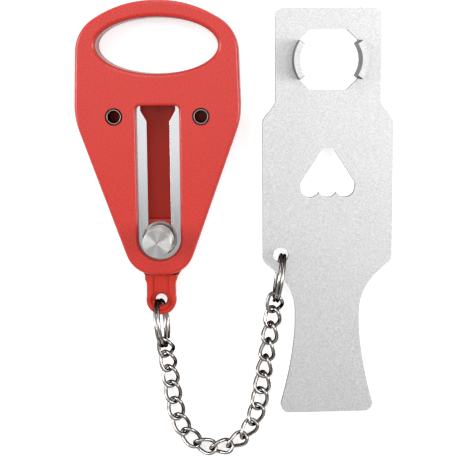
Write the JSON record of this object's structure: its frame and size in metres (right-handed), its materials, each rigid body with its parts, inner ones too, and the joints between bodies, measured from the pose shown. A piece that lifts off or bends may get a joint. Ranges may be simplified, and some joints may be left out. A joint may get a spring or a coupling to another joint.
{
  "type": "portable door lock",
  "caption": "Portable door lock: red two-shell handle with a sliding knob, a chain of nineteen twisted links and a steel latch plate with two bent claws.",
  "frame": {"origin": "on the flat rear face of the handle, under the middle of its window", "axes": "+Y towards the handle's grip, +Z out of the handle's front face, +X to the right seen from the front"},
  "size_m": [0.1046, 0.155, 0.019],
  "materials": {
    "moulded_red_plastic": "semi-gloss moulded plastic",
    "satin_stainless_steel": "satin, bead-blasted",
    "bright_nickel_plate": "bright nickel plate",
    "turned_stainless_steel": "turned, bright",
    "red_nylon": "red nylon"
  },
  "bodies": {
    "housing": {"rear_cover": "moulded_red_plastic", "front_cover": "moulded_red_plastic", "slide_plate": "satin_stainless_steel", "eyelet_left": "bright_nickel_plate", "eyelet_right": "bright_nickel_plate", "cover_screw_1": "bright_nickel_plate", "cover_screw_2": "bright_nickel_plate", "cover_screw_3": "bright_nickel_plate", "cover_screw_4": "bright_nickel_plate"},
    "carriage": {"slide_shoe": "red_nylon", "hex_stud": "bright_nickel_plate", "wave_washer": "bright_nickel_plate"},
    "turning_knob": {"knob": "turned_stainless_steel"},
    "ring_at_tab": {"tab_ring": "bright_nickel_plate"},
    "link_01": {"chain_link_01": "bright_nickel_plate"},
    "link_02": {"chain_link_02": "bright_nickel_plate"},
    "link_03": {"chain_link_03": "bright_nickel_plate"},
    "link_04": {"chain_link_04": "bright_nickel_plate"},
    "link_05": {"chain_link_05": "bright_nickel_plate"},
    "link_06": {"chain_link_06": "bright_nickel_plate"},
    "link_07": {"chain_link_07": "bright_nickel_plate"},
    "link_08": {"chain_link_08": "bright_nickel_plate"},
    "link_09": {"chain_link_09": "bright_nickel_plate"},
    "link_10": {"chain_link_10": "bright_nickel_plate"},
    "link_11": {"chain_link_11": "bright_nickel_plate"},
    "link_12": {"chain_link_12": "bright_nickel_plate"},
    "link_13": {"chain_link_13": "bright_nickel_plate"},
    "link_14": {"chain_link_14": "bright_nickel_plate"},
    "link_15": {"chain_link_15": "bright_nickel_plate"},
    "link_16": {"chain_link_16": "bright_nickel_plate"},
    "link_17": {"chain_link_17": "bright_nickel_plate"},
    "link_18": {"chain_link_18": "bright_nickel_plate"},
    "link_19": {"chain_link_19": "bright_nickel_plate"},
    "ring_at_plate": {"plate_ring": "bright_nickel_plate"},
    "latch": {"latch_plate": "satin_stainless_steel"}
  },
  "joints": [
    {"name": "knob_slide", "type": "slide", "parent": "housing", "child": "carriage", "axis": [0, 1, 0], "range_m": [0, 0.038]},
    {"name": "knob_turn", "type": "hinge", "parent": "carriage", "child": "turning_knob", "pos_m": [0, -0.01865, 0.012], "axis": [0, 0, 1], "continuous": true},
    {"name": "tab_ring_swing", "type": "hinge", "parent": "housing", "child": "ring_at_tab", "pos_m": [0, -0.043, 0.0052], "axis": [0.9888, 0.1214, 0.0872], "range_deg": [-25, 20]},
    {"name": "link_01_fold", "type": "hinge", "parent": "ring_at_tab", "child": "link_01", "pos_m": [0.00111, -0.05369, 0.00746], "axis": [0.9976, 0.0698, 0], "range_deg": [-25, 12]},
    {"name": "link_02_fold", "type": "hinge", "parent": "link_01", "child": "link_02", "pos_m": [0.00147, -0.05885, 0.00464], "axis": [-0.9962, -0.0872, 0], "range_deg": [-25, 25]},
    {"name": "link_03_fold", "type": "hinge", "parent": "link_02", "child": "link_03", "pos_m": [0.00196, -0.06442, 0.00274], "axis": [0.9925, 0.1219, 0], "range_deg": [-25, 25]},
    {"name": "link_04_fold", "type": "hinge", "parent": "link_03", "child": "link_04", "pos_m": [0.00267, -0.07021, 0.00184], "axis": [-0.9903, -0.1392, 0], "range_deg": [-25, 25]},
    {"name": "link_05_fold", "type": "hinge", "parent": "link_04", "child": "link_05", "pos_m": [0.00349, -0.07605, 0.00175], "axis": [0.9848, 0.1736, 0], "range_deg": [-25, 25]},
    {"name": "link_06_fold", "type": "hinge", "parent": "link_05", "child": "link_06", "pos_m": [0.00452, -0.08186, 0.00187], "axis": [-0.9063, -0.4226, 0], "range_deg": [-25, 25]},
    {"name": "link_07_fold", "type": "hinge", "parent": "link_06", "child": "link_07", "pos_m": [0.00701, -0.0872, 0.00187], "axis": [0.7193, 0.6947, 0], "range_deg": [-25, 25]},
    {"name": "link_08_fold", "type": "hinge", "parent": "link_07", "child": "link_08", "pos_m": [0.01111, -0.09145, 0.00207], "axis": [-0.2924, -0.9563, 0], "range_deg": [-25, 25]},
    {"name": "link_09_fold", "type": "hinge", "parent": "link_08", "child": "link_09", "pos_m": [0.01674, -0.09317, 0.00227], "axis": [-0.1736, 0.9848, 0], "range_deg": [-25, 25]},
    {"name": "link_10_fold", "type": "hinge", "parent": "link_09", "child": "link_10", "pos_m": [0.02255, -0.09215, 0.00237], "axis": [0.5736, -0.8192, 0], "range_deg": [-25, 25]},
    {"name": "link_11_fold", "type": "hinge", "parent": "link_10", "child": "link_11", "pos_m": [0.02739, -0.08876, 0.00241], "axis": [-0.8387, 0.5446, 0], "range_deg": [-25, 25]},
    {"name": "link_12_fold", "type": "hinge", "parent": "link_11", "child": "link_12", "pos_m": [0.0306, -0.08381, 0.00241], "axis": [0.9511, -0.309, 0], "range_deg": [-25, 25]},
    {"name": "link_13_fold", "type": "hinge", "parent": "link_12", "child": "link_13", "pos_m": [0.03242, -0.07821, 0.00215], "axis": [-0.9848, 0.1736, 0], "range_deg": [-25, 25]},
    {"name": "link_14_fold", "type": "hinge", "parent": "link_13", "child": "link_14", "pos_m": [0.03345, -0.0724, 0.00231], "axis": [0.9903, -0.1392, 0], "range_deg": [-25, 25]},
    {"name": "link_15_fold", "type": "hinge", "parent": "link_14", "child": "link_15", "pos_m": [0.03427, -0.06657, 0.00264], "axis": [-0.9877, 0.1564, 0], "range_deg": [-25, 25]},
    {"name": "link_16_fold", "type": "hinge", "parent": "link_15", "child": "link_16", "pos_m": [0.03519, -0.06074, 0.00266], "axis": [0.9877, -0.1564, 0], "range_deg": [-25, 25]},
    {"name": "link_17_fold", "type": "hinge", "parent": "link_16", "child": "link_17", "pos_m": [0.03611, -0.05491, 0.00266], "axis": [-0.9877, 0.1564, 0], "range_deg": [-25, 25]},
    {"name": "link_18_fold", "type": "hinge", "parent": "link_17", "child": "link_18", "pos_m": [0.03703, -0.04911, 0.00324], "axis": [0.9903, -0.1392, 0], "range_deg": [-25, 25]},
    {"name": "link_19_fold", "type": "hinge", "parent": "link_18", "child": "link_19", "pos_m": [0.03782, -0.04347, 0.00477], "axis": [-0.9903, 0.1392, 0], "range_deg": [-25, 25]},
    {"name": "plate_ring_swing", "type": "hinge", "parent": "link_19", "child": "ring_at_plate", "pos_m": [0.03855, -0.03827, 0.00746], "axis": [0.9857, -0.1649, -0.0349], "range_deg": [-5, 30]},
    {"name": "latch_plate_swing", "type": "hinge", "parent": "ring_at_plate", "child": "latch", "pos_m": [0.04012, -0.02829, 0.00453], "axis": [-0.9857, 0.1649, 0.0349], "range_deg": [-25, 25]}
  ]
}
